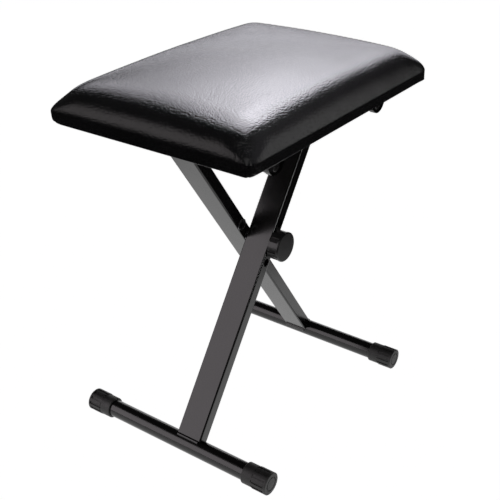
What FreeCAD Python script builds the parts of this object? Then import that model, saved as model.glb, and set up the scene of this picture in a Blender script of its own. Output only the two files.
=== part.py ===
import FreeCAD, Part
import math
import os

# Folding piano bench: a padded seat on two crossed legs.
# X runs along the seat, Y across it, Z up. The origin is on the floor under the seat's centre.
# "left" is the -X end, "right" the +X end, "front" the -Y side and "back" the +Y side.
# The front leg's top turns in the right pair of ears and its foot is on the left;
# the rear leg is the same leg turned half round the Z axis.

# ---- driving dimensions, mm -------------------------------------------------------------------

# Seat
seat_length = 395.0
seat_width = 282.0
seat_underside = 436.0
seat_corner_radius = 14.0
vinyl = 1.0
hem_width = 25.0
board_thickness = 11.0
crown_height = 45.0
crown_reach = 92.0
crown_power = 2.4
crown_sections = 7
crown_corner_growth = 0.5
foam_clearance = 0.2
lining_thickness = 0.6
lining_inset = 12.0
lining_corner_radius = 7.0

# Legs
pivot_x = 118.5
pivot_z = 416.0
foot_x = 162.2
foot_z = 14.7
leg_thickness = 17.0
leg_inner_y = 0.6
leg_outer_y = 38.0
leg_wall = 1.5
leg_corner_radius = 2.2
leg_inner_corner_radius = 1.0
height_hole_pitch = 27.0
crossbar_radius = 9.5
foot_tube_radius = 11.7
tube_wall = 1.5
foot_tube_half_length = 144.0
weld_radius = 2.3

# Ears under the seat: the ears of one leg are not quite opposite, so one stands further out
ear_faces = {"near": 116.0, "far": 121.0}
ear_radius = 16.0
ear_wall = 1.6
ear_web = 2.0
ear_rim_depth = 5.0
ear_arc_z = 422.0
ear_base_depth = 30.0
ear_screw_spread = 10.0
ear_screw_inset = 17.0

# Pivot fasteners
running_gap = 0.3
bush_flange = 1.0
bush_flange_radius = 8.5
bush_radius = 6.0
pivot_bolt_radius = 4.0
pivot_fit = 0.05
pivot_bolt_length = 22.0
pivot_head_radius = 6.3
pivot_head_height = 3.4
pivot_head_rounding = 1.36
pivot_socket_flats = 5.0
pivot_washer_radius = 7.6
pivot_washer_thickness = 1.0
plug_length = 18.0

# Ear screws and tee nuts
screw_radius = 3.0
screw_hole_radius = 3.3
screw_head_radius = 6.0
screw_head_height = 3.2
screw_head_rounding = 1.44
screw_socket_flats = 4.0
screw_tip_depth = 0.8
socket_depth = 2.0
tee_barrel_radius = 3.9
tee_barrel_length = 9.5
tee_flange_radius = 9.0
tee_flange_thickness = 1.4

# Staples of the turned-in cover
staple_width = 10.0
staple_wire = 0.7
staple_leg = 7.0
staple_spacing = 44.0
staple_edge = 20.0

# Foot caps
cap_start = 111.0
cap_end = 148.0
cap_collar_radius = 14.2
cap_grip_radius = 14.9
cap_grip_start = 127.0
cap_rim_width = 3.0
cap_lip_rounding = 1.0
cap_grip_chamfer = 0.6
cap_groove_count = 12
cap_groove_width = 3.6
cap_groove_depth = 1.3
cap_face_groove_radius = 9.6
cap_face_groove_width = 1.4
cap_face_groove_depth = 0.9

# Knob and its bolt
knob_bolt_radius = 5.0
leg_hole_radius = 5.6
knob_washer_radius = 11.0
knob_washer_thickness = 1.2
knob_end = 58.0
knob_disc_radius = 20.0
knob_disc_thickness = 3.6
knob_face_rounding = 1.6
knob_back_chamfer = 0.4
knob_grip_radius = 19.4
knob_skirt_radius = 16.0
knob_skirt_height = 1.8
knob_flute_count = 8
knob_flute_width = 7.0
knob_flute_depth = 3.2
bolt_head_flats = 16.0
bolt_head_height = 6.4
bolt_tip_gap = 0.3

# Threaded sleeves of the rear leg
sleeve_radius = 6.5
sleeve_flange_radius = 8.2
sleeve_flange = 0.4
sleeve_length = 16.0
sleeve_bore = 5.1

# Construction
overrun = 1.0  # how far a cutting shape runs past the face that it opens
hair = 0.01    # smallest distance that tells two edges or faces apart

# ---- derived values ---------------------------------------------------------------------------

board_bottom = seat_underside + vinyl
board_top = board_bottom + board_thickness
lining_bottom = seat_underside - lining_thickness
leg_width = leg_outer_y - leg_inner_y
leg_run = pivot_x + foot_x
leg_rise = pivot_z - foot_z
leg_length = math.hypot(leg_run, leg_rise)
leg_slope = math.atan2(leg_rise, leg_run)
crossing_z = pivot_z - pivot_x * math.tan(leg_slope)

Vector = FreeCAD.Vector
Y_AXIS = Vector(0, 1, 0)
Z_AXIS = Vector(0, 0, 1)
ORIGIN = Vector(0, 0, 0)


# ---- helpers ----------------------------------------------------------------------------------

def save(node, shape):
    """Write one node's STEP file."""
    shape.exportStep(os.path.join("parts", node + ".step"))


def box(x0, x1, y0, y1, z0, z1):
    return Part.makeBox(x1 - x0, y1 - y0, z1 - z0, Vector(x0, y0, z0))


def rod_y(radius, x, z, y0, y1):
    """Cylinder along Y between two Y values."""
    return Part.makeCylinder(radius, y1 - y0, Vector(x, y0, z), Y_AXIS)


def rod_z(radius, x, y, z0, z1):
    """Cylinder along Z between two Z values."""
    return Part.makeCylinder(radius, z1 - z0, Vector(x, y, z0), Z_AXIS)


def hexagon_along(flats, height, base, axis):
    """Hexagonal prism standing on base along axis."""
    corner = flats / math.sqrt(3)
    points = []
    for step in range(7):
        angle = math.radians(60 * step)
        points.append(Vector(corner * math.cos(angle), corner * math.sin(angle), 0))
    prism = Part.Face(Part.makePolygon(points)).extrude(Vector(0, 0, height))
    turn = FreeCAD.Rotation(Z_AXIS, axis)
    prism.Placement = FreeCAD.Placement(base, turn)
    return prism


def rounded_rectangle(half_x, half_y, radius, z):
    """Closed wire with four round corners, centred on the Z axis."""
    edges = []
    corners = [(1, 1), (-1, 1), (-1, -1), (1, -1)]
    for index, (sx, sy) in enumerate(corners):
        centre = Vector(sx * (half_x - radius), sy * (half_y - radius), z)
        start = math.radians(90 * index)
        points = []
        for part in (0, 0.5, 1):
            angle = start + part * math.pi / 2
            points.append(centre + Vector(radius * math.cos(angle), radius * math.sin(angle), 0))
        edges.append(Part.Arc(*points).toShape())
    straight = []
    for index in range(4):
        end = edges[index].Vertexes[-1].Point
        nxt = edges[(index + 1) % 4].Vertexes[0].Point
        straight.append(Part.LineSegment(end, nxt).toShape())
    ordered = []
    for index in range(4):
        ordered += [edges[index], straight[index]]
    return Part.Wire(ordered)


def turned_half_round(shape):
    """The same shape turned 180 degrees about Z, which makes the rear leg from the front one."""
    copy = shape.copy()
    copy.rotate(ORIGIN, Z_AXIS, 180)
    return copy


# ---- seat -------------------------------------------------------------------------------------

def cushion_body(inset, base_z):
    """Board band with the crowned pad on it, shrunk by inset; base_z is its flat underside."""
    wires = []
    for step in range(crown_sections):
        angle = step / (crown_sections - 1) * math.pi / 2
        drawn_in = crown_reach * (1 - math.cos(angle) ** (2 / crown_power))
        height = crown_height * math.sin(angle) ** (2 / crown_power)
        lift = (crown_height - inset) / crown_height
        wires.append(rounded_rectangle(
            seat_length / 2 - inset - drawn_in,
            seat_width / 2 - inset - drawn_in,
            seat_corner_radius - inset + crown_corner_growth * drawn_in,
            board_top + height * lift))
    crown = Part.makeLoft(wires, True, False)
    outline = rounded_rectangle(seat_length / 2 - inset, seat_width / 2 - inset,
                                seat_corner_radius - inset, base_z)
    band = Part.Face(outline).extrude(Vector(0, 0, board_top - base_z))
    return band.fuse(crown).removeSplitter()


def ear_screw_points():
    """Plan positions of the ear screws, two in each ear's base."""
    points = []
    for x, side, face in ear_places():
        y = side * (face - ear_rim_depth - ear_screw_inset)
        for offset in (-ear_screw_spread, ear_screw_spread):
            points.append((x + offset, y))
    return points


def ear_places():
    """Pivot X, Y side and rim face of each ear, in the order left front, left back, right..."""
    near = ear_faces["near"]
    far = ear_faces["far"]
    return [(-pivot_x, -1, far), (-pivot_x, 1, near), (pivot_x, -1, near), (pivot_x, 1, far)]


def seat_cover():
    """Leatherette skin over the pad, wrapped round the board's edge and hemmed under it."""
    outside = cushion_body(0, seat_underside)
    inside = cushion_body(vinyl, board_bottom)
    opening = box(-seat_length / 2 + hem_width, seat_length / 2 - hem_width,
                  -seat_width / 2 + hem_width, seat_width / 2 - hem_width,
                  seat_underside - overrun, board_bottom + overrun)
    return outside.cut(inside).cut(opening)


def foam_pad():
    """Foam block between the board and the cover."""
    pad = cushion_body(vinyl + foam_clearance, board_bottom)
    below = box(-seat_length, seat_length, -seat_width, seat_width, seat_underside - overrun, board_top)
    return pad.cut(below)


def seat_board():
    """Plywood board with clearance holes for the screws and pockets for the tee nuts."""
    board_gap = vinyl + foam_clearance / 2
    outline = rounded_rectangle(seat_length / 2 - board_gap, seat_width / 2 - board_gap,
                                seat_corner_radius - board_gap, board_bottom)
    board = Part.Face(outline).extrude(Vector(0, 0, board_thickness))
    pocket_floor = board_top - tee_flange_thickness
    for x, y in ear_screw_points():
        board = board.cut(rod_z(tee_barrel_radius + pivot_fit, x, y,
                                board_bottom - overrun, board_top + overrun))
        board = board.cut(rod_z(tee_flange_radius + pivot_fit, x, y, pocket_floor, board_top + overrun))
    return board


def dust_cover():
    """Thin cloth lining that closes the underside of the seat."""
    outline = rounded_rectangle(seat_length / 2 - lining_inset, seat_width / 2 - lining_inset,
                                lining_corner_radius, lining_bottom)
    lining = Part.Face(outline).extrude(Vector(0, 0, lining_thickness))
    for x, y in ear_screw_points():
        lining = lining.cut(rod_z(screw_hole_radius, x, y,
                                  lining_bottom - overrun, seat_underside + overrun))
    return lining


def staple(x, y, along_x):
    """Wire staple driven up through the lining and the hem into the board."""
    half = staple_width / 2
    wire = staple_wire / 2
    crown_z = lining_bottom - staple_wire
    crown = box(-half, half, -wire, wire, crown_z, lining_bottom)
    for end in (-half, half - staple_wire):
        crown = crown.fuse(box(end, end + staple_wire, -wire, wire, crown_z, lining_bottom + staple_leg))
    solid = crown.removeSplitter()
    if not along_x:
        solid.rotate(ORIGIN, Z_AXIS, 90)
    solid.translate(Vector(x, y, 0))
    return solid


def cover_staples():
    """Staples in one row round the underside, parallel to each edge."""
    staples = []
    row_y = seat_width / 2 - staple_edge
    row_x = seat_length / 2 - staple_edge
    count_x = int(2 * row_x / staple_spacing)
    count_y = int(2 * row_y / staple_spacing)
    for index in range(count_x):
        x = (index - (count_x - 1) / 2) * staple_spacing
        for side in (-1, 1):
            staples.append(staple(x, side * row_y, True))
    for index in range(count_y):
        y = (index - (count_y - 1) / 2) * staple_spacing
        for side in (-1, 1):
            staples.append(staple(side * row_x, y, False))
    return Part.makeCompound(staples)


def ear_outline(x, radius, y, top):
    """Face of an upright tab: a half circle below, straight sides up to top."""
    left_top = Vector(x - radius, y, top)
    left = Vector(x - radius, y, ear_arc_z)
    bottom = Vector(x, y, ear_arc_z - radius)
    right = Vector(x + radius, y, ear_arc_z)
    right_top = Vector(x + radius, y, top)
    edges = [Part.LineSegment(left_top, left).toShape(),
             Part.Arc(left, bottom, right).toShape(),
             Part.LineSegment(right, right_top).toShape(),
             Part.LineSegment(right_top, left_top).toShape()]
    return Part.Face(Part.Wire(edges))


def ear(x, side, face):
    """Pressed steel ear: a dished tab with a pivot hole and a base that is screwed to the board."""
    top = lining_bottom
    depth = ear_rim_depth + ear_web
    inward = Vector(0, -side, 0)
    tab = ear_outline(x, ear_radius, side * face, top).extrude(inward * depth)
    dish = ear_outline(x, ear_radius - ear_wall, side * face, top + overrun).extrude(inward * ear_rim_depth)
    tab = tab.cut(dish)
    web_inner = face - depth
    low_y, high_y = sorted((side * (web_inner + ear_web), side * (web_inner - ear_base_depth)))
    base = box(x - ear_radius, x + ear_radius, low_y, high_y, top - ear_web, top)
    body = tab.fuse(base).removeSplitter()
    bore_ends = sorted((side * (face + overrun), side * (web_inner - overrun)))
    body = body.cut(rod_y(bush_radius + pivot_fit, x, pivot_z, *bore_ends))
    screw_y = side * (face - ear_rim_depth - ear_screw_inset)
    for offset in (-ear_screw_spread, ear_screw_spread):
        body = body.cut(rod_z(screw_hole_radius, x + offset, screw_y, top - ear_web - overrun, top + overrun))
    return body


def ear_screws():
    """Pan-head machine screws that hold the ears to the board."""
    screws = []
    seat = lining_bottom - ear_web
    for x, y in ear_screw_points():
        head = rod_z(screw_head_radius, x, y, seat - screw_head_height, seat)
        low_edge = [edge for edge in head.Edges if edge.BoundBox.ZMax < seat - screw_head_height / 2
                    and edge.Closed]
        head = head.makeFillet(screw_head_rounding, low_edge)
        socket_base = Vector(x, y, seat - screw_head_height - hair)
        socket = hexagon_along(screw_socket_flats, socket_depth, socket_base, Z_AXIS)
        shank = rod_z(screw_radius, x, y, seat, board_top - screw_tip_depth)
        screws.append(head.cut(socket).fuse(shank).removeSplitter())
    return Part.makeCompound(screws)


def tee_nuts():
    """Tee nuts let into the top of the board."""
    nuts = []
    for x, y in ear_screw_points():
        flange = rod_z(tee_flange_radius, x, y, board_top - tee_flange_thickness, board_top)
        barrel = rod_z(tee_barrel_radius, x, y, board_top - tee_barrel_length, board_top)
        bore = rod_z(screw_radius + pivot_fit, x, y,
                     board_top - tee_barrel_length - overrun, board_top + overrun)
        nuts.append(flange.fuse(barrel).cut(bore).removeSplitter())
    return Part.makeCompound(nuts)


def pivot_bushes():
    """Flanged plastic bushes, one in each ear."""
    bushes = []
    for x, side, face in ear_places():
        web_outer = face - ear_rim_depth
        web_inner = web_outer - ear_web
        barrel = rod_y(bush_radius, x, pivot_z, *sorted((side * web_outer, side * web_inner)))
        flange_inner = web_inner - bush_flange
        flange = rod_y(bush_flange_radius, x, pivot_z, *sorted((side * web_inner, side * flange_inner)))
        bore = rod_y(pivot_bolt_radius + pivot_fit, x, pivot_z,
                     *sorted((side * (web_outer + overrun), side * (flange_inner - overrun))))
        bushes.append(barrel.fuse(flange).cut(bore).removeSplitter())
    return Part.makeCompound(bushes)


# ---- legs, built as the front leg -------------------------------------------------------------

def along_leg(distance, offset=0.0):
    """X and Z of a point on the front leg: distance up from the foot axis, offset square to it."""
    x = -foot_x + distance * math.cos(leg_slope) - offset * math.sin(leg_slope)
    z = foot_z + distance * math.sin(leg_slope) + offset * math.cos(leg_slope)
    return x, z


def height_hole_distances():
    """Distances from the foot axis to the three height holes; the middle one is in use."""
    crossing = leg_length - pivot_x / math.cos(leg_slope)
    return [crossing + step * height_hole_pitch for step in (-1, 0, 1)]


def leg_bar(thickness, width, radius):
    """Solid bar of the leg's section from the foot axis to the pivot axis, front leg position."""
    profile = Part.Face(rounded_rectangle(thickness / 2, width / 2, radius, 0))
    bar = profile.extrude(Vector(0, 0, leg_length))
    bar.rotate(ORIGIN, Y_AXIS, math.degrees(math.pi / 2 - leg_slope))
    bar.translate(Vector(-foot_x, -(leg_inner_y + leg_outer_y) / 2, foot_z))
    return bar


def front_crossbar_span():
    """Y ends of the front leg's crossbar, a running gap short of the bush flanges."""
    shrink = ear_rim_depth + ear_web + bush_flange + running_gap
    return -(ear_faces["near"] - shrink), ear_faces["far"] - shrink


def leg_tube(hole_walls):
    """Rectangular leg tube, its ends shaped to sit on the crossbar and on the foot tube.

    hole_walls lists the wall holes as (radius, low y, high y) for a front leg.
    """
    outer = leg_bar(leg_thickness, leg_width, leg_corner_radius)
    inner = leg_bar(leg_thickness - 2 * leg_wall, leg_width - 2 * leg_wall, leg_inner_corner_radius)
    tube = outer.cut(inner)
    tube = tube.cut(rod_y(crossbar_radius, pivot_x, pivot_z, -leg_outer_y - overrun, overrun))
    tube = tube.cut(rod_y(foot_tube_radius, -foot_x, foot_z, -leg_outer_y - overrun, overrun))
    for radius, low_y, high_y in hole_walls:
        for distance in height_hole_distances():
            x, z = along_leg(distance)
            tube = tube.cut(rod_y(radius, x, z, low_y, high_y))
    return max(tube.Solids, key=lambda solid: solid.Volume)


def round_tube(radius, x, z, y0, y1):
    outer = rod_y(radius, x, z, y0, y1)
    inner = rod_y(radius - tube_wall, x, z, y0 - overrun, y1 + overrun)
    return outer.cut(inner)


def crossbar():
    return round_tube(crossbar_radius, pivot_x, pivot_z, *front_crossbar_span())


def foot_tube():
    return round_tube(foot_tube_radius, -foot_x, foot_z, -foot_tube_half_length, foot_tube_half_length)


def crossbar_ends():
    """The crossbar's two ends as (outward side, end y, rim face of the ear there)."""
    low, high = front_crossbar_span()
    return [(-1, low, ear_faces["near"]), (1, high, ear_faces["far"])]


def crossbar_plugs():
    """Threaded plugs welded into the crossbar's ends."""
    plugs = []
    for side, end, _ in crossbar_ends():
        inner_end = end - side * plug_length
        plug = rod_y(crossbar_radius - tube_wall - pivot_fit, pivot_x, pivot_z, *sorted((end, inner_end)))
        bore = rod_y(pivot_bolt_radius + pivot_fit, pivot_x, pivot_z,
                     *sorted((end + side * overrun, inner_end - side * overrun)))
        plugs.append(plug.cut(bore))
    return Part.makeCompound(plugs)


def pivot_washers():
    """Washers under the pivot bolts' heads."""
    washers = []
    for side, _, face in crossbar_ends():
        inner = side * (face - ear_rim_depth + running_gap)
        outer = inner + side * pivot_washer_thickness
        washer = rod_y(pivot_washer_radius, pivot_x, pivot_z, *sorted((inner, outer)))
        hole = rod_y(pivot_bolt_radius + 2 * pivot_fit, pivot_x, pivot_z,
                     *sorted((inner - side * overrun, outer + side * overrun)))
        washers.append(washer.cut(hole))
    return Part.makeCompound(washers)


def pivot_bolts():
    """Low-head socket bolts through the ears into the crossbar plugs."""
    bolts = []
    for side, _, face in crossbar_ends():
        under_head = side * (face - ear_rim_depth + running_gap + pivot_washer_thickness)
        head_end = under_head + side * pivot_head_height
        head = rod_y(pivot_head_radius, pivot_x, pivot_z, *sorted((under_head, head_end)))
        outer_edge = [edge for edge in head.Edges
                      if edge.Closed and abs(edge.BoundBox.Center.y - head_end) < hair]
        head = head.makeFillet(pivot_head_rounding, outer_edge)
        socket_base = Vector(pivot_x, head_end + side * hair, pivot_z)
        socket = hexagon_along(pivot_socket_flats, socket_depth, socket_base, Vector(0, -side, 0))
        shank_end = under_head - side * pivot_bolt_length
        shank = rod_y(pivot_bolt_radius, pivot_x, pivot_z, *sorted((under_head, shank_end)))
        bolts.append(head.cut(socket).fuse(shank).removeSplitter())
    return Part.makeCompound(bolts)


def weld_beads():
    """Four weld beads, along both faces of the leg at its top and at its foot."""
    beads = []
    half = leg_thickness / 2
    low_y = -leg_outer_y + leg_corner_radius
    high_y = -leg_inner_y - leg_corner_radius
    leg_room = leg_bar(leg_thickness, leg_width, leg_corner_radius)
    crossbar_room = rod_y(crossbar_radius, pivot_x, pivot_z, -leg_outer_y, 0)
    foot_room = rod_y(foot_tube_radius, -foot_x, foot_z, -leg_outer_y, 0)
    corners = [(leg_length - math.sqrt(crossbar_radius ** 2 - half ** 2), crossbar_room),
               (math.sqrt(foot_tube_radius ** 2 - half ** 2), foot_room)]
    for distance, tube_room in corners:
        for offset in (-half, half):
            x, z = along_leg(distance, offset)
            bead = rod_y(weld_radius, x, z, low_y, high_y)
            bead = bead.cut(tube_room).cut(leg_room)
            beads.append(max(bead.Solids, key=lambda solid: solid.Volume))
    return Part.makeCompound(beads)


def foot_cap(side):
    """Rubber end cap of a foot tube: smooth collar, ribbed grip and a round end face."""
    y_start = side * cap_start
    y_end = side * cap_end
    y_grip = side * cap_grip_start
    collar = rod_y(cap_collar_radius, -foot_x, foot_z, *sorted((y_start, y_end)))
    lip_edges = [edge for edge in collar.Edges
                 if edge.Closed and abs(edge.BoundBox.Center.y - y_start) < hair]
    collar = collar.makeFillet(cap_lip_rounding, lip_edges)
    grip = rod_y(cap_grip_radius, -foot_x, foot_z, *sorted((y_grip, y_end)))
    grip_edges = [edge for edge in grip.Edges if edge.Closed]
    grip = grip.makeChamfer(cap_grip_chamfer, grip_edges)
    cap = collar.fuse(grip)
    groove_floor = cap_grip_radius - cap_groove_depth
    groove_ends = sorted((y_grip - side * overrun, y_end - side * cap_rim_width))
    for index in range(cap_groove_count):
        groove = box(-cap_groove_width / 2, cap_groove_width / 2, groove_ends[0], groove_ends[1],
                     groove_floor, cap_grip_radius + overrun)
        groove.rotate(ORIGIN, Y_AXIS, (index + 0.5) * 360 / cap_groove_count)
        groove.translate(Vector(-foot_x, 0, foot_z))
        cap = cap.cut(groove)
    ring_outer = rod_y(cap_face_groove_radius, -foot_x, foot_z,
                       *sorted((y_end - side * cap_face_groove_depth, y_end + side * overrun)))
    ring_inner = rod_y(cap_face_groove_radius - cap_face_groove_width, -foot_x, foot_z,
                       *sorted((y_end - side * 2 * overrun, y_end + side * 2 * overrun)))
    cap = cap.cut(ring_outer.cut(ring_inner))
    tube_room = rod_y(foot_tube_radius + pivot_fit, -foot_x, foot_z,
                      *sorted((y_start - side * overrun, side * foot_tube_half_length)))
    cap = cap.cut(tube_room)
    below_floor = box(-foot_x - cap_grip_radius, -foot_x + cap_grip_radius,
                      *sorted((y_start - side * overrun, y_end + side * overrun)), -overrun, 0)
    return cap.cut(below_floor).removeSplitter()


def threaded_sleeves():
    """Flanged threaded sleeves of the rear leg's height holes, in the rear leg's own place."""
    sleeves = []
    for distance in height_hole_distances():
        x, z = along_leg(distance)
        x = -x
        y0 = leg_inner_y - sleeve_flange
        flange = rod_y(sleeve_flange_radius, x, z, y0, leg_inner_y)
        barrel = rod_y(sleeve_radius, x, z, leg_inner_y, leg_inner_y + sleeve_length)
        bore = rod_y(sleeve_bore, x, z, y0 - overrun, leg_inner_y + sleeve_length + overrun)
        sleeves.append(flange.fuse(barrel).cut(bore).removeSplitter())
    return Part.makeCompound(sleeves)


# ---- knob -------------------------------------------------------------------------------------

def knob_washer():
    y_outer = -(leg_outer_y + running_gap + knob_washer_thickness)
    washer = rod_y(knob_washer_radius, 0, crossing_z, y_outer, y_outer + knob_washer_thickness)
    hole = rod_y(knob_bolt_radius + running_gap, 0, crossing_z, y_outer - overrun, 0)
    return washer.cut(hole)


def knob_levels():
    """Y of the grip's inner end, of the disc's inner face and of the outer face."""
    base = -(leg_outer_y + knob_washer_thickness + 2 * running_gap)
    disc = -(knob_end - knob_disc_thickness)
    return base, disc, -knob_end


def knob_grip():
    """Moulded grip with eight broad flutes and a hexagonal pocket for the bolt's head."""
    base, disc, _ = knob_levels()
    skirt = rod_y(knob_skirt_radius, 0, crossing_z, base - knob_skirt_height, base)
    grip = rod_y(knob_grip_radius, 0, crossing_z, disc, base - knob_skirt_height)
    flute_floor = knob_grip_radius - knob_flute_depth
    for index in range(knob_flute_count):
        flute = box(-knob_flute_width / 2, knob_flute_width / 2, disc - overrun, base + overrun,
                    flute_floor, knob_grip_radius + overrun)
        flute.rotate(ORIGIN, Y_AXIS, index * 360 / knob_flute_count)
        flute.translate(Vector(0, 0, crossing_z))
        grip = grip.cut(flute)
    grip = grip.fuse(skirt).removeSplitter()
    pocket = hexagon_along(bolt_head_flats, bolt_head_height, Vector(0, disc, crossing_z), Y_AXIS)
    shank_room = rod_y(knob_bolt_radius, 0, crossing_z, disc - overrun, base + overrun)
    return grip.cut(pocket).cut(shank_room)


def knob_cap():
    """Plain round disc that closes the knob."""
    _, disc, face = knob_levels()
    cap = rod_y(knob_disc_radius, 0, crossing_z, face, disc)
    outer_edge = [edge for edge in cap.Edges if edge.Closed and abs(edge.BoundBox.Center.y - face) < hair]
    inner_edge = [edge for edge in cap.Edges if edge.Closed and abs(edge.BoundBox.Center.y - disc) < hair]
    return cap.makeFillet(knob_face_rounding, outer_edge).makeChamfer(knob_back_chamfer, inner_edge)


def knob_bolt():
    """Hexagon-head bolt; its shank stops short of the rear leg, see the threaded sleeves."""
    _, disc, _ = knob_levels()
    head = hexagon_along(bolt_head_flats, bolt_head_height, Vector(0, disc, crossing_z), Y_AXIS)
    shank = rod_y(knob_bolt_radius, 0, crossing_z, disc + bolt_head_height, -leg_inner_y - bolt_tip_gap)
    return head.fuse(shank).removeSplitter()


# ---- build ------------------------------------------------------------------------------------

def build_seat():
    save("seat_cover", seat_cover())
    save("foam_pad", foam_pad())
    save("seat_board", seat_board())
    save("dust_cover", dust_cover())
    save("cover_staples", cover_staples())
    names = ["left_front_ear", "left_back_ear", "right_front_ear", "right_back_ear"]
    for name, place in zip(names, ear_places()):
        save(name, ear(*place))
    save("ear_screws", ear_screws())
    save("tee_nuts", tee_nuts())
    save("pivot_bushes", pivot_bushes())


def build_legs():
    bolt_holes = [(leg_hole_radius, -leg_outer_y - overrun, 0)]
    sleeve_holes = [(sleeve_radius + pivot_fit, -leg_inner_y - leg_wall - overrun, 0)]
    shared = {"crossbar": crossbar(),
              "foot_tube": foot_tube(),
              "crossbar_plugs": crossbar_plugs(),
              "pivot_washers": pivot_washers(),
              "pivot_bolts": pivot_bolts(),
              "weld_beads": weld_beads()}
    save("front_leg_tube", leg_tube(bolt_holes))
    save("rear_leg_tube", turned_half_round(leg_tube(sleeve_holes)))
    for name, shape in shared.items():
        save("front_leg_" + name, shape)
        save("rear_leg_" + name, turned_half_round(shape))
    save("front_leg_front_foot_cap", foot_cap(-1))
    save("front_leg_back_foot_cap", foot_cap(1))
    save("rear_leg_front_foot_cap", turned_half_round(foot_cap(1)))
    save("rear_leg_back_foot_cap", turned_half_round(foot_cap(-1)))
    save("rear_leg_threaded_sleeves", threaded_sleeves())


def build_knob():
    save("knob_washer", knob_washer())
    save("knob_grip", knob_grip())
    save("knob_cap", knob_cap())
    save("knob_bolt", knob_bolt())


os.makedirs("parts", exist_ok=True)
build_seat()
build_legs()
build_knob()
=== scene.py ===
import math

import bmesh
import bpy
import numpy as np
from mathutils import Matrix, Vector, noise


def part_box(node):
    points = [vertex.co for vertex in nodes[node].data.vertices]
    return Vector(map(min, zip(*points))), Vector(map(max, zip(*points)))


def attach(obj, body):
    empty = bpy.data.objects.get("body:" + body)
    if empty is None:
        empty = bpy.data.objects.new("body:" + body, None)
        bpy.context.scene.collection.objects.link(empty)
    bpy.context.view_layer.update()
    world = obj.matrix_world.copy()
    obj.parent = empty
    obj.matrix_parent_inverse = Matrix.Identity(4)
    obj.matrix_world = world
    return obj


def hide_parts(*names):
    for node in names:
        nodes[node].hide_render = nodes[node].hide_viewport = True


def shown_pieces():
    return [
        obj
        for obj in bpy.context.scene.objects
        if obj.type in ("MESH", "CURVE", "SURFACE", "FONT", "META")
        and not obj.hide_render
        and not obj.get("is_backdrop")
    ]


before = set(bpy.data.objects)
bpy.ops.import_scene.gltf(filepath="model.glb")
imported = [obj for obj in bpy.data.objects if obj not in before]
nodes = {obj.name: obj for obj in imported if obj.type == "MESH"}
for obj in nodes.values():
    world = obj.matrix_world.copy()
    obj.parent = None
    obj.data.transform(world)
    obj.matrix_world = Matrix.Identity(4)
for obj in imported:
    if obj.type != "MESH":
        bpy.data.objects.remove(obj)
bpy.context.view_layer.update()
scene = bpy.context.scene

# Folding piano bench: a padded leatherette seat on two crossed legs. Metres, +Z up, floor at z = 0.

MM = 0.001
TINY = 1e-9   # keeps a division by zero away
SEAT_LOW, SEAT_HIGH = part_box("seat_cover")
BOARD_LOW, BOARD_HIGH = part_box("seat_board")


def limited(value):
    """The value, kept between 0 and 1."""
    return min(1.0, max(0.0, value))


# ---- node helpers ------------------------------------------------------------------------------

def new_material(name):
    """An empty procedural material: its node tree, its shader and its object coordinates."""
    material = bpy.data.materials.new(name)
    material.use_nodes = True
    tree = material.node_tree
    shader = tree.nodes["Principled BSDF"]
    place = tree.nodes.new("ShaderNodeTexCoord").outputs["Object"]
    return material, tree, shader, place


def add(tree, kind, inputs=None, **settings):
    """A new node with these settings; a socket given as an input is linked, a value is set."""
    node = tree.nodes.new(kind)
    for name, value in settings.items():
        setattr(node, name, value)
    for name, value in (inputs or {}).items():
        if isinstance(value, bpy.types.NodeSocket):
            tree.links.new(value, node.inputs[name])
        else:
            node.inputs[name].default_value = value
    return node


def math_node(tree, operation, first, second=0.0):
    return add(tree, "ShaderNodeMath", {0: first, 1: second}, operation=operation).outputs[0]


def noise_node(tree, place, size, detail=2.0, roughness=0.5):
    """Noise whose features are about size metres across."""
    return add(tree, "ShaderNodeTexNoise", {
        "Vector": place, "Scale": 1 / size, "Detail": detail, "Roughness": roughness}).outputs["Fac"]


def remap(tree, value, low, high, to_low, to_high):
    return add(tree, "ShaderNodeMapRange", {
        "Value": value, "From Min": low, "From Max": high, "To Min": to_low,
        "To Max": to_high}).outputs["Result"]


def ramp(tree, value, stops):
    """Colour ramp; stops are (position, (red, green, blue))."""
    node = add(tree, "ShaderNodeValToRGB", {"Fac": value})
    elements = node.color_ramp.elements
    while len(elements) < len(stops):
        elements.new(0.5)
    for element, (position, colour) in zip(elements, stops):
        element.position = position
        element.color = (*colour, 1)
    return node.outputs["Color"]


def bump(tree, height, distance, strength=1.0, below=None):
    inputs = {"Height": height, "Distance": distance, "Strength": strength}
    if below is not None:
        inputs["Normal"] = below
    return add(tree, "ShaderNodeBump", inputs).outputs["Normal"]


def finish_shader(tree, shader, colour, roughness, normal):
    for name, socket in (("Base Color", colour), ("Roughness", roughness), ("Normal", normal)):
        if isinstance(socket, bpy.types.NodeSocket):
            tree.links.new(socket, shader.inputs[name])
        elif socket is not None:
            shader.inputs[name].default_value = socket


# ---- materials ---------------------------------------------------------------------------------

PEBBLE_SIZE = 2.2 * MM
PEBBLE_HEIGHT = 0.20 * MM
PEBBLE_WARP = 0.9 * MM   # how far the grain wanders from an even pattern
PEBBLE_WARP_SIZE = 2.5 * MM


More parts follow.
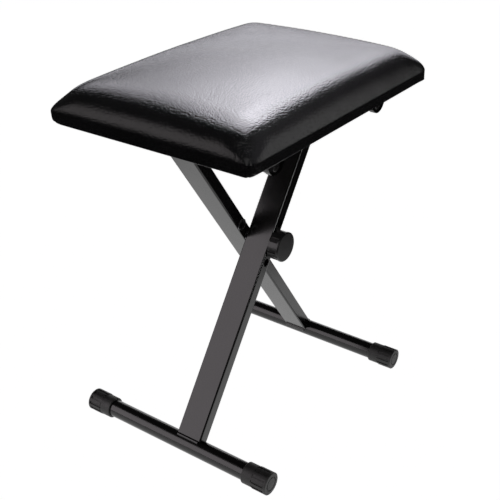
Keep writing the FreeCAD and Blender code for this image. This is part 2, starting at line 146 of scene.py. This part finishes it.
def leatherette():
    """Black vinyl with a fine pebble grain, faint creases and uneven gloss."""
    material, tree, shader, place = new_material("bench_leatherette")
    warp = add(tree, "ShaderNodeTexNoise", {
        "Vector": place, "Scale": 1 / PEBBLE_WARP_SIZE, "Detail": 1.0})
    shifted = add(tree, "ShaderNodeVectorMath", {0: warp.outputs["Color"], 1: (0.5, 0.5, 0.5)},
                  operation="SUBTRACT").outputs[0]
    small = add(tree, "ShaderNodeVectorMath", {0: shifted, "Scale": PEBBLE_WARP},
                operation="SCALE").outputs[0]
    warped = add(tree, "ShaderNodeVectorMath", {0: place, 1: small}, operation="ADD").outputs[0]
    cells = add(tree, "ShaderNodeTexVoronoi", {"Vector": warped, "Scale": 1 / PEBBLE_SIZE})
    pebbles = math_node(tree, "SUBTRACT", 1.0,
                        math_node(tree, "POWER", cells.outputs["Distance"], 2.0))
    pores = noise_node(tree, place, 0.35 * MM, 2.0)
    creases = noise_node(tree, place, 16 * MM, 4.0, 0.6)
    normal = bump(tree, creases, 0.3 * MM, 0.08)
    normal = bump(tree, pebbles, PEBBLE_HEIGHT, 1.0, normal)
    normal = bump(tree, pores, 0.02 * MM, 0.6, normal)
    colour = ramp(tree, noise_node(tree, place, 45 * MM, 4.0),
                  [(0.3, (0.0022, 0.0021, 0.0024)), (0.7, (0.0036, 0.0035, 0.0040))])
    gloss = noise_node(tree, place, 30 * MM, 5.0, 0.65)
    roughness = remap(tree, gloss, 0.25, 0.75, 0.11, 0.16)
    finish_shader(tree, shader, colour, roughness, normal)
    shader.inputs["IOR"].default_value = 1.5
    shader.inputs["Specular IOR Level"].default_value = 1.0
    return material


def powder_coat():
    """Satin black powder coat: orange peel, fine speckle and slightly uneven gloss."""
    material, tree, shader, place = new_material("bench_powder_coat")
    peel = noise_node(tree, place, 2.2 * MM, 2.0)
    speckle = noise_node(tree, place, 0.5 * MM, 1.0)
    normal = bump(tree, peel, 0.05 * MM, 0.5)
    normal = bump(tree, speckle, 0.01 * MM, 0.5, normal)
    colour = ramp(tree, noise_node(tree, place, 60 * MM, 5.0),
                  [(0.3, (0.0014, 0.0012, 0.0013)), (0.7, (0.0024, 0.0021, 0.0022))])
    roughness = remap(tree, noise_node(tree, place, 25 * MM, 4.0), 0.3, 0.7, 0.17, 0.22)
    finish_shader(tree, shader, colour, roughness, normal)
    return material


def zinc_steel():
    """Zinc-plated steel with fine scratches and dull patches."""
    material, tree, shader, place = new_material("bench_zinc_steel")
    scratches = noise_node(tree, place, 0.8 * MM, 6.0, 0.75)
    colour = ramp(tree, noise_node(tree, place, 6 * MM, 4.0),
                  [(0.3, (0.30, 0.30, 0.31)), (0.7, (0.46, 0.46, 0.47))])
    roughness = remap(tree, scratches, 0.3, 0.7, 0.24, 0.42)
    finish_shader(tree, shader, colour, roughness, bump(tree, scratches, 0.02 * MM, 0.5))
    shader.inputs["Metallic"].default_value = 1.0
    return material


def blackened_steel():
    """Black-oxide fastener steel with worn, brighter patches."""
    material, tree, shader, place = new_material("bench_blackened_steel")
    wear = noise_node(tree, place, 2.5 * MM, 5.0, 0.7)
    colour = ramp(tree, wear, [(0.45, (0.07, 0.068, 0.07)), (0.75, (0.30, 0.30, 0.30))])
    roughness = remap(tree, wear, 0.3, 0.7, 0.30, 0.18)
    finish_shader(tree, shader, colour, roughness, bump(tree, wear, 0.02 * MM, 0.4))
    shader.inputs["Metallic"].default_value = 0.9
    return material


def rubber():
    """Matt moulded rubber: fine grain, dusty bloom in patches."""
    material, tree, shader, place = new_material("bench_rubber")
    grain = noise_node(tree, place, 0.6 * MM, 3.0, 0.6)
    bloom = noise_node(tree, place, 9 * MM, 5.0, 0.65)
    colour = ramp(tree, bloom, [(0.35, (0.0065, 0.0062, 0.0061)), (0.7, (0.013, 0.0125, 0.0122))])
    roughness = remap(tree, bloom, 0.3, 0.7, 0.48, 0.62)
    finish_shader(tree, shader, colour, roughness, bump(tree, grain, 0.06 * MM, 0.7))
    return material


def moulded_plastic():
    """Black moulded plastic with a fine spark-eroded texture."""
    material, tree, shader, place = new_material("bench_moulded_plastic")
    spark = noise_node(tree, place, 0.45 * MM, 2.0, 0.6)
    cloud = noise_node(tree, place, 12 * MM, 4.0)
    colour = ramp(tree, cloud, [(0.35, (0.0060, 0.0058, 0.0059)), (0.7, (0.0095, 0.0091, 0.0093))])
    roughness = remap(tree, cloud, 0.3, 0.7, 0.28, 0.36)
    finish_shader(tree, shader, colour, roughness, bump(tree, spark, 0.05 * MM, 0.6))
    shader.inputs["Specular IOR Level"].default_value = 0.42
    return material


def lining_cloth():
    """Black non-woven lining with a pressed dot pattern and loose fibres."""
    material, tree, shader, place = new_material("bench_lining")
    dots = add(tree, "ShaderNodeTexVoronoi", {
        "Vector": place, "Scale": 1 / (1.4 * MM), "Randomness": 0.15})
    fibres = noise_node(tree, place, 0.5 * MM, 6.0, 0.8)
    height = math_node(tree, "ADD", dots.outputs["Distance"], fibres)
    colour = ramp(tree, fibres, [(0.3, (0.010, 0.010, 0.011)), (0.8, (0.030, 0.030, 0.032))])
    finish_shader(tree, shader, colour, 0.9, bump(tree, height, 0.12 * MM, 0.8))
    return material


def plywood():
    """Birch plywood: long grain on the faces and plies along the edge."""
    material, tree, shader, place = new_material("bench_plywood")
    stretched = add(tree, "ShaderNodeMapping", {
        "Vector": place, "Scale": (0.08, 1.0, 1.0)}).outputs[0]
    grain = noise_node(tree, stretched, 3 * MM, 6.0, 0.6)
    plies = add(tree, "ShaderNodeTexWave", {
        "Vector": place, "Scale": 1 / (9 * MM), "Distortion": 0.6},
        bands_direction="Z").outputs["Fac"]
    mixed = math_node(tree, "ADD", math_node(tree, "MULTIPLY", grain, 0.6),
                      math_node(tree, "MULTIPLY", plies, 0.4))
    colour = ramp(tree, mixed, [(0.3, (0.36, 0.22, 0.11)), (0.7, (0.60, 0.42, 0.24))])
    finish_shader(tree, shader, colour, 0.62, bump(tree, grain, 0.08 * MM, 0.5))
    return material


SLOT_MATERIALS = {
    "leatherette": leatherette(),
    "plywood": plywood(),
    "lining": lining_cloth(),
    "black_steel": powder_coat(),
    "zinc_steel": zinc_steel(),
    "cap_rubber": rubber(),
    "black_plastic": moulded_plastic(),
    "fasteners": blackened_steel(),
}


def node_slot(name):
    """The kind of finish that a CAD node takes."""
    if name == "seat_board":
        return "plywood"
    if name == "dust_cover":
        return "lining"
    if name.endswith("foot_cap"):
        return "cap_rubber"
    if name in ("knob_grip", "knob_cap", "pivot_bushes"):
        return "black_plastic"
    if name.endswith("pivot_bolts"):
        return "fasteners"
    for ending in ("screws", "staples", "tee_nuts", "washers", "washer", "plugs", "sleeves", "bolt"):
        if name.endswith(ending):
            return "zinc_steel"
    return "black_steel"


def finish_cad_nodes():
    """A material on each CAD node that is seen; the cushion takes the place of two of them."""
    for name, node in nodes.items():
        if name in ("seat_cover", "foam_pad"):
            continue
        material = SLOT_MATERIALS[node_slot(name)]
        node.data.materials.clear()
        node.data.materials.append(material)


# ---- cushion -----------------------------------------------------------------------------------

EDGE_Z = SEAT_LOW[2]   # underside of the cover
BASE_HALF_X, BASE_HALF_Y = SEAT_HIGH[0], SEAT_HIGH[1]
SEAM_Z = BOARD_HIGH[2]   # where the band ends and the pad begins
RIM_HALF_X = BASE_HALF_X - 0.9 * MM   # the ends lean in above the board, the long sides swell out
RIM_HALF_Y = BASE_HALF_Y + 1.9 * MM
REACH_X = 50.5 * MM   # how far the shoulders reach in from the rim
REACH_Y = 46.5 * MM
START_X = math.radians(5)   # how far the shoulder already leans in at the rim
START_Y = math.radians(11)
SHOULDER_HEIGHT = 30.6 * MM
CROWN = 14.4 * MM
CORNER_NORM_RIM = 11.0   # how square the plan is at the rim
CORNER_NORM_TOP = 3.0   # rounder above it
# How fast that changes at each corner; a corner is named by its signs in x and y.
CORNER_FADES = {(-1, -1): 26.0, (1, -1): 9.0, (1, 1): 18.0, (-1, 1): 18.0}
SHOULDER_STEPS = 16
SHOULDER_CROWDING = 1.3   # above 1 the stations crowd towards the rim
GRID_STEP = 4.6 * MM


def side_stations(half, reach, start):
    """Positions from -half to half, close together over both shoulders."""
    edge = []
    for step in range(SHOULDER_STEPS + 1):
        share = (step / SHOULDER_STEPS) ** SHOULDER_CROWDING
        angle = start + share * (math.pi / 2 - start)
        inward = 1 - math.cos(angle) / math.cos(start)
        edge.append(-half + inward * reach)
    span = 2 * (half - reach)
    count = round(span / GRID_STEP)
    middle = [-half + reach + span * step / count for step in range(1, count)]
    mirrored = [-position for position in reversed(edge)]
    return edge + middle + mirrored


def corner_of(x, y):
    """The corner that a place of the plan belongs to, as two signs."""
    return (-1 if x < 0 else 1, -1 if y < 0 else 1)


def shoulder_rise(outward, start):
    """Rise of the shoulder, 0 to 1; outward is 1 at the rim and 0 where the shoulder ends."""
    level = math.sqrt(1 - (outward * math.cos(start)) ** 2)
    return (level - math.sin(start)) / (1 - math.sin(start))


def pad_point(x, y):
    """Place of a point of the square plan on the pad, drawn in where the corners are round."""
    p = max(0.0, (abs(x) - (RIM_HALF_X - REACH_X)) / REACH_X)
    q = max(0.0, (abs(y) - (RIM_HALF_Y - REACH_Y)) / REACH_Y)
    outward = max(p, q)
    fade = CORNER_FADES[corner_of(x, y)]
    norm = CORNER_NORM_TOP + (CORNER_NORM_RIM - CORNER_NORM_TOP) * outward ** fade
    share_x = 0.5
    if p > 0 and q > 0:
        total = p ** norm + q ** norm
        share_x = p ** norm / total
        shrink = outward / total ** (1 / norm)
        x = math.copysign(RIM_HALF_X - REACH_X + p * shrink * REACH_X, x)
        y = math.copysign(RIM_HALF_Y - REACH_Y + q * shrink * REACH_Y, y)
    elif outward > 0:
        share_x = 1.0 if p > 0 else 0.0
    rise_x = share_x * shoulder_rise(outward, START_X)
    rise_y = (1 - share_x) * shoulder_rise(outward, START_Y)
    rise = rise_x + rise_y
    dome = (1 - (x / RIM_HALF_X) ** 2) * (1 - (y / RIM_HALF_Y) ** 2)
    return x, y, SEAM_Z + SHOULDER_HEIGHT * rise + CROWN * dome


def cushion_mesh():
    """Closed cushion: crowned pad on top, flat band round the board's edge, flat underside."""
    columns = side_stations(RIM_HALF_X, REACH_X, START_X)
    rows = side_stations(RIM_HALF_Y, REACH_Y, START_Y)
    mesh = bmesh.new()
    grid = [[mesh.verts.new(pad_point(x, y)) for x in columns] for y in rows]
    for j in range(len(rows) - 1):
        for i in range(len(columns) - 1):
            mesh.faces.new((grid[j][i], grid[j][i + 1], grid[j + 1][i + 1], grid[j + 1][i]))
    last = len(columns) - 1
    rim = grid[0][:last] + [line[last] for line in grid[:-1]]
    rim += list(reversed(grid[-1]))[:last] + [line[0] for line in reversed(grid[1:])]
    add_band(mesh, rim)
    bmesh.ops.recalc_face_normals(mesh, faces=mesh.faces)
    data = bpy.data.meshes.new("seat_cushion")
    mesh.to_mesh(data)
    mesh.free()
    return data


BAND_RINGS = [  # height above the board's lower face and inset from the board's edge, mm
    (11.5, 0), (10.6, 0), (8, 0), (5, 0), (2.4, 0), (1.1, 0), (0.55, 0.12), (0.2, 0.45), (0.03, 1.0),
    (0, 3.0), (0.1, 12.0), (0.3, 25.0)]


LIP_ENDS = 1.2 * MM   # how far the cover hangs below the board where it turns under
LIP_SIDES = 2.1 * MM
LIP_START = 8.0   # height above the board's lower face where it begins to hang, mm
LIP_END = 12.0   # distance in under the board where it no longer hangs, mm
LIP_BLEND = 12   # how sharply the ends' value gives way to the sides' at a corner


def lip_drop(x, y, height, inset):
    """How far the cover hangs down at this place of the band; height and inset in mm."""
    p = (abs(x) / RIM_HALF_X) ** LIP_BLEND
    q = (abs(y) / RIM_HALF_Y) ** LIP_BLEND
    drop = (LIP_ENDS * p + LIP_SIDES * q) / (p + q + TINY)
    down = limited((LIP_START - height) / LIP_START)
    under = limited((LIP_END - inset) / LIP_END)
    return drop * down * under


def add_band(mesh, rim):
    """Rings from the pad's rim down the board's edge and in under it, closed in the middle."""
    ring = rim
    for height, inset in BAND_RINGS:
        z = EDGE_Z + height * MM
        share = height * MM / (SEAM_Z - EDGE_Z)
        half_x = BASE_HALF_X + share * (RIM_HALF_X - BASE_HALF_X) - inset * MM
        half_y = BASE_HALF_Y + share * (RIM_HALF_Y - BASE_HALF_Y) - inset * MM
        lower = []
        for vertex in rim:
            x = vertex.co.x * half_x / RIM_HALF_X
            y = vertex.co.y * half_y / RIM_HALF_Y
            lip = lip_drop(vertex.co.x, vertex.co.y, height, inset)
            lower.append(mesh.verts.new((x, y, z - lip)))
        for index in range(len(ring)):
            following = (index + 1) % len(ring)
            mesh.faces.new((ring[index], lower[index], lower[following], ring[following]))
        ring = lower
    centre = mesh.verts.new((0, 0, ring[0].co.z))
    for index in range(len(ring)):
        mesh.faces.new((ring[index], centre, ring[(index + 1) % len(ring)]))


SWELL_FRAMES = 20
SWELL_CAP = 5 * MM   # the most that a point keeps of the simulated movement
PIN_FADE = 12 * MM   # height above the seam where the pad is free
SMOOTHING_PASSES = 40
STILL = 1e-7   # a point that moved less than this stays where it is while the rest is smoothed


def pin_band(piece):
    """Vertex group that holds the band and lets go of the pad above it."""
    pins = piece.vertex_groups.new(name="pinned")
    for vertex in piece.data.vertices:
        height = (vertex.co.z - SEAM_Z) / PIN_FADE
        pins.add([vertex.index], limited(1.0 - height), "REPLACE")
    return pins


def padding_cloth(piece):
    """Cloth modifier for a cover under the foam's pressure."""
    cloth = piece.modifiers.new("padding", "CLOTH")
    settings = cloth.settings
    settings.quality = 6
    settings.mass = 0.3
    settings.tension_stiffness = 40
    settings.compression_stiffness = 40
    settings.shear_stiffness = 30
    settings.bending_stiffness = 8
    settings.use_pressure = True
    settings.uniform_pressure_force = 4.0
    settings.vertex_group_mass = "pinned"
    settings.effector_weights.gravity = 0
    cloth.collision_settings.use_collision = False
    return cloth


def inflate(piece):
    """Cloth simulation: the pad swells under pressure while the band stays fixed to the board."""
    rest = np.array([vertex.co for vertex in piece.data.vertices])
    pins = pin_band(piece)
    cloth = padding_cloth(piece)
    for number in range(1, SWELL_FRAMES + 1):
        scene.frame_set(number)
    evaluated = piece.evaluated_get(bpy.context.evaluated_depsgraph_get())
    moves = np.array([vertex.co for vertex in evaluated.data.vertices]) - rest
    piece.modifiers.remove(cloth)
    piece.vertex_groups.remove(pins)
    scene.frame_set(1)
    lengths = np.linalg.norm(moves, axis=1)
    print("cloth moved up to", round(lengths.max() / MM, 2), "mm")
    moves *= np.minimum(1.0, SWELL_CAP / np.maximum(lengths, TINY))[:, None]
    moves = smoothed(piece.data, moves)
    print("kept up to", round(np.linalg.norm(moves, axis=1).max() / MM, 2), "mm, rise at the top",
          round(moves[rest[:, 2].argmax(), 2] / MM, 2), "mm")
    for vertex, start, move in zip(piece.data.vertices, rest, moves):
        vertex.co = start + move


def smoothed(data, moves):
    """The moves averaged with their neighbours', so that broad swelling stays and wrinkles fade."""
    edges = np.array([edge.vertices for edge in data.edges])
    count = np.bincount(edges.ravel(), minlength=len(moves))[:, None]
    still = np.linalg.norm(moves, axis=1) < STILL
    for _ in range(SMOOTHING_PASSES):
        total = np.zeros_like(moves)
        np.add.at(total, edges[:, 0], moves[edges[:, 1]])
        np.add.at(total, edges[:, 1], moves[edges[:, 0]])
        moves = 0.5 * moves + 0.5 * total / count
        moves[still] = 0
    return moves


PLEAT_TOP = SEAM_Z + 12 * MM   # the pleat has faded out here
PLEAT_DEPTH = 1.5 * MM
PLEAT_WIDTH = 1.1 * MM
PLEAT_RADIUS = 12 * MM
RIDGE_HEIGHT = 0.7 * MM   # a fold beside the pleat, on the end of the seat, nearer to it lower down
RIDGE_PLACE = 2.4 * MM
RIDGE_SPREAD = 0.6
RIDGE_WIDTH = 1.4 * MM
GATHER_DROP = 0.6 * MM   # how far the gathered cover hangs under a corner
GATHER_RADIUS = 9 * MM
GATHER_PLACE = 3 * MM   # distance from the corner where it hangs most
GATHER_TOP = 6 * MM   # height above the underside where the gathering begins
LIP_HEIGHT = 1 * MM   # the lip is the part of the band below this
# How far the cover is drawn in at each corner: at the board's lower face, at the lip, and half-way
# down the band, where it bulges out instead.
BASE_TUCKS = {(-1, -1): 0.5 * MM, (1, -1): -1.8 * MM, (1, 1): 1.3 * MM, (-1, 1): 1.4 * MM}
LIP_TUCKS = {(-1, -1): 0.5 * MM, (1, -1): -0.5 * MM, (1, 1): 2.0 * MM, (-1, 1): 3.0 * MM}
BELLIES = {(-1, -1): 0.0, (1, -1): 0.0, (1, 1): 0.5 * MM, (-1, 1): 1.0 * MM}
BASE_TUCK_RADIUS = 13 * MM


def tuck_corners(data):
    """Folds the cover into a pleat at each corner, gathers it and pulls it in under the corner."""
    for vertex in data.vertices:
        x, y, z = vertex.co
        inward_x = BASE_HALF_X - abs(x)
        inward_y = BASE_HALF_Y - abs(y)
        radius = math.hypot(max(0, inward_x), max(0, inward_y))
        if radius > 4 * BASE_TUCK_RADIUS:
            continue
        across = (inward_x - inward_y) / math.sqrt(2)
        near = math.exp(-(radius / PLEAT_RADIUS) ** 2)
        fade = limited((PLEAT_TOP - z) / (PLEAT_TOP - SEAM_Z))
        groove = -PLEAT_DEPTH * math.exp(-(across / PLEAT_WIDTH) ** 2)
        ridge_place = RIDGE_PLACE + RIDGE_SPREAD * max(0.0, z - SEAM_Z)
        ridge = RIDGE_HEIGHT * math.exp(-((across + ridge_place) / RIDGE_WIDTH) ** 2)
        sign_x, sign_y = corner_of(x, y)
        below = limited((SEAM_Z - z) / (SEAM_Z - EDGE_Z))
        lip = limited((EDGE_Z + LIP_HEIGHT - z) / LIP_HEIGHT)
        tuck = BASE_TUCKS[sign_x, sign_y] * below + LIP_TUCKS[sign_x, sign_y] * lip
        belly = BELLIES[sign_x, sign_y] * 4 * below * (1 - below)
        pull = (tuck - belly) * math.exp(-(radius / BASE_TUCK_RADIUS) ** 2)
        outward = (near * fade * (groove + ridge) - pull) / math.sqrt(2)
        vertex.co.x += sign_x * outward
        vertex.co.y += sign_y * outward
        low = limited((EDGE_Z + GATHER_TOP - z) / GATHER_TOP)
        gather = math.exp(-((radius - GATHER_PLACE) / GATHER_RADIUS) ** 2)
        vertex.co.z -= GATHER_DROP * low * gather


UNDERSIDE_MARGIN = 0.3 * MM   # the flat underside stays as it is
RIPPLE = 0.32 * MM
RIPPLE_LENGTH = 24 * MM
RIPPLE_PLACE = 2   # height above the seam where the ripple is strongest, mm
RIPPLE_SPREAD = 14   # how far it carries up and down from there, mm
RIPPLE_BORDER = 25 * MM   # it stays this near to the sides
LUMPS = 0.35 * MM
LUMP_LENGTH = 55 * MM
LUMP_START = 6   # height above the seam where the uneven foam begins, mm
LUMP_SHIFT = Vector((3.1, 7.7, 0))   # takes the lumps from another part of the noise


def pucker(data):
    """Uneven foam under the top and a slight ripple along the sides, where the cover is pulled."""
    for vertex in data.vertices:
        x, y, z = vertex.co
        side = min(BASE_HALF_X - abs(x), BASE_HALF_Y - abs(y))
        if z < EDGE_Z + UNDERSIDE_MARGIN:
            continue
        plan = Vector((x, y, 0))
        height = (z - SEAM_Z) / MM
        weight = math.exp(-((height - RIPPLE_PLACE) / RIPPLE_SPREAD) ** 2)
        if side >= RIPPLE_BORDER:
            weight = 0
        ripple = RIPPLE * noise.noise(plan / RIPPLE_LENGTH) * weight
        if BASE_HALF_X - abs(x) < BASE_HALF_Y - abs(y):
            vertex.co.x += ripple
        else:
            vertex.co.y += ripple
        if height > LUMP_START:
            vertex.co.z += LUMPS * noise.noise(plan / LUMP_LENGTH + LUMP_SHIFT)


def make_cushion():
    """The padded seat: it stands for the CAD model's cover and foam, and rides on the seat."""
    piece = bpy.data.objects.new("seat_cushion", cushion_mesh())
    scene.collection.objects.link(piece)
    inflate(piece)
    pucker(piece.data)
    tuck_corners(piece.data)
    smooth = piece.modifiers.new("smooth", "SUBSURF")
    smooth.levels = 1
    smooth.render_levels = 1
    piece.data.materials.append(SLOT_MATERIALS["leatherette"])
    for polygon in piece.data.polygons:
        polygon.use_smooth = True
    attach(piece, "seat")
    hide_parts("seat_cover", "foam_pad")
    return piece


# ---- stage, light and camera -------------------------------------------------------------------

FLOOR_SIZE = 40.0
FLOOR_COLOUR = (0.82, 0.82, 0.82, 1)
FLOOR_GLOW = 0.98
POOL_START, POOL_END = 0.30, 0.52   # the floor's reflection fades between these distances
POOL_GLOW, FAR_GLOW = 0.95, 0.01


def add_plane(name, z):
    """Stage plane of the floor's size at height z."""
    mesh = bmesh.new()
    bmesh.ops.create_grid(mesh, x_segments=8, y_segments=8, size=FLOOR_SIZE / 2)
    data = bpy.data.meshes.new(name)
    mesh.to_mesh(data)
    mesh.free()
    plane = bpy.data.objects.new(name, data)
    plane.location.z = z
    scene.collection.objects.link(plane)
    plane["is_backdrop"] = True
    return plane


def make_floor():
    """Plain white floor that glows a little, so that shadows on it stay faint."""
    floor = add_plane("floor", 0.0)
    material = bpy.data.materials.new("stage_floor")
    material.use_nodes = True
    shader = material.node_tree.nodes["Principled BSDF"]
    shader.inputs["Base Color"].default_value = FLOOR_COLOUR
    shader.inputs["Roughness"].default_value = 0.9
    shader.inputs["Specular IOR Level"].default_value = 0.1
    shader.inputs["Emission Color"].default_value = (1, 1, 1, 1)
    shader.inputs["Emission Strength"].default_value = FLOOR_GLOW
    floor.data.materials.append(material)
    floor.visible_glossy = False


def make_floor_reflection():
    """What glossy surfaces see of the floor: a pool of light under the bench, dark beyond it."""
    card = add_plane("floor_reflection", -1 * MM)
    glow = bpy.data.materials.new("stage_floor_reflection")
    glow.use_nodes = True
    tree = glow.node_tree
    tree.nodes.clear()
    place = add(tree, "ShaderNodeTexCoord").outputs["Object"]
    distance = add(tree, "ShaderNodeVectorMath", {0: place}, operation="LENGTH").outputs["Value"]
    pool = remap(tree, distance, POOL_START, POOL_END, POOL_GLOW, FAR_GLOW)
    emission = add(tree, "ShaderNodeEmission", {"Strength": pool}).outputs[0]
    output = add(tree, "ShaderNodeOutputMaterial")
    tree.links.new(emission, output.inputs["Surface"])
    card.data.materials.append(glow)
    card.visible_camera = False
    card.visible_diffuse = False
    card.visible_shadow = False
    card.visible_transmission = False


def direction(azimuth, elevation):
    """Unit vector; azimuth in degrees from +X towards +Y, elevation in degrees above the floor."""
    a, e = math.radians(azimuth), math.radians(elevation)
    return Vector((math.cos(a) * math.cos(e), math.sin(a) * math.cos(e), math.sin(e)))


def soft_box(name, place, facing, width, height, radiance, receivers, colour=(1, 1, 1)):
    """Rectangular area light at place that shines along facing, on the receivers only."""
    data = bpy.data.lights.new(name, "AREA")
    data.shape = "RECTANGLE"
    data.size = width
    data.size_y = height
    data.energy = radiance * math.pi * width * height
    data.color = colour
    light = bpy.data.objects.new(name, data)
    light.location = place
    light.rotation_euler = (-facing).to_track_quat("Z", "Y").to_euler()
    light.visible_camera = False
    scene.collection.objects.link(light)
    group = bpy.data.collections.new(name + "_receivers")
    for piece in receivers:
        group.objects.link(piece)
    light.light_linking.receiver_collection = group


CEILING_Z = 1.7
CEILING_STEP = 0.01   # each panel hangs this much above the one before
CEILING_COLOUR = (0.94, 0.925, 1.0)
CEILING_GAIN = 1.07
CEILING_PANELS = [  # x and y ranges in metres, and radiance; the near corner mirrors the first one
    (0.0, 1.5, -0.17, 0.85, 3.0), (0.9, 2.3, -0.18, 1.25, 1.5), (0.25, 2.3, -0.19, 2.0, 1.5),
    (0.7, 2.3, -0.20, 2.9, 0.5), (2.3, 4.2, 0.10, 3.2, 1.2), (2.3, 3.4, 0.0, 1.9, 0.75),
    (4.2, 9.0, 0.40, 6.2, 1.0), (5.8, 9.0, 0.40, 6.2, 0.3), (0.2, 2.4, -2.4, -0.2, 0.11)]
SEAT_TOP = Vector((0, 0, 0.47))   # the boxes near the bench aim here
WHITE = (1.0, 1.0, 1.0)
LEFT_COLOUR = (1.0, 0.94, 0.95)
LEFT_WALL_COLOUR = (1.0, 0.93, 0.97)
FAR_SIDE = 33   # azimuth behind the seat, as the camera sees it
GLINT_SIDE = (-116, 18)   # azimuth and elevation, degrees
CAMERA_SIDE = (-135, 45)
WORLD_GLOW = 0.03   # what the world adds to the light; the camera sees it white


def upright_box(name, azimuth, distance, height, size, radiance, receivers, colour=WHITE):
    """Soft box that stands upright on one side, with its middle at this height above the floor."""
    outward = direction(azimuth, 0)
    place = distance * outward + Vector((0, 0, height))
    soft_box(name, place, -outward, *size, radiance, receivers, colour)


def aimed_box(name, toward, distance, size, radiance, receivers, colour=WHITE):
    """Soft box that is aimed at the seat from this azimuth and elevation."""
    outward = direction(*toward)
    soft_box(name, SEAT_TOP + distance * outward, -outward, *size, radiance, receivers, colour)


def make_ceiling(cushion):
    """Overlapping panels above and beyond the seat, for the broad reflection on its top."""
    for number, (x0, x1, y0, y1, radiance) in enumerate(CEILING_PANELS):
        middle = Vector(((x0 + x1) / 2, (y0 + y1) / 2, CEILING_Z + number * CEILING_STEP))
        soft_box(f"ceiling_panel_{number}", middle, Vector((0, 0, -1)), x1 - x0, y1 - y0,
                 CEILING_GAIN * radiance, [cushion], CEILING_COLOUR)


def make_lights(cushion):
    """Soft boxes: a ceiling and a far wall behind the seat, weaker ones on the left, on the right
    and on the camera's side. The cushion and the frame have boxes of their own."""
    seat = [cushion]
    others = [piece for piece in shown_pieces() if piece != cushion]
    make_ceiling(cushion)
    upright_box("far_wall", FAR_SIDE, 9, 0.95, (9.0, 1.5), 1.1, seat, CEILING_COLOUR)
    upright_box("back_wall", FAR_SIDE, 4.2, 0.7, (4.6, 1.4), 1.5, others)
    aimed_box("left_box", (143, 21), 2, (1.1, 1.1), 0.45, seat, LEFT_COLOUR)
    aimed_box("right_box", (-44, 8), 2, (0.9, 1.3), 0.40, seat)
    upright_box("left_wall_box", 139, 2, 1.1, (2.0, 2.2), 2.1, others, LEFT_WALL_COLOUR)
    aimed_box("glint_box", GLINT_SIDE, 2.2, (0.4, 0.4), 6.0, seat)
    aimed_box("frame_glint_box", GLINT_SIDE, 2.2, (0.4, 0.4), 14.0, others)
    aimed_box("camera_side_fill", CAMERA_SIDE, 3, (3.0, 3.0), 0.25, seat)
    aimed_box("frame_fill", CAMERA_SIDE, 3, (3.0, 3.0), 0.06, others)


def make_world():
    """A white world that adds very little light."""
    world = bpy.data.worlds.new("studio")
    world.use_nodes = True
    tree = world.node_tree
    background = tree.nodes["Background"]
    background.inputs["Color"].default_value = (1, 1, 1, 1)
    rays = add(tree, "ShaderNodeLightPath")
    seen = remap(tree, rays.outputs["Is Camera Ray"], 0, 1, WORLD_GLOW, 1.0)
    tree.links.new(seen, background.inputs["Strength"])
    scene.world = world


CAMERA_EYE = Vector((-869.11, -620.83, 801.78)) * MM
CAMERA_RIGHT = Vector((0.57973916, -0.81479994, -0.0018872))
CAMERA_UP = Vector((0.38830378, 0.27424474, 0.87977838))
FOCAL_LENGTH = 65.63   # mm, for a sensor of this width
SENSOR_WIDTH = 36


def make_camera():
    """Camera at the eye point of the product picture."""
    data = bpy.data.cameras.new("camera")
    data.lens = FOCAL_LENGTH
    data.sensor_width = SENSOR_WIDTH
    data.clip_start = 0.05
    data.clip_end = 60
    camera = bpy.data.objects.new("camera", data)
    scene.collection.objects.link(camera)
    back = CAMERA_RIGHT.cross(CAMERA_UP)
    turn = Matrix((CAMERA_RIGHT, CAMERA_UP, back)).transposed().to_4x4()
    camera.matrix_world = Matrix.Translation(CAMERA_EYE) @ turn
    scene.camera = camera


make_camera()
scene.view_settings.view_transform = "Standard"
make_floor()
make_floor_reflection()
finish_cad_nodes()
make_lights(make_cushion())
make_world()
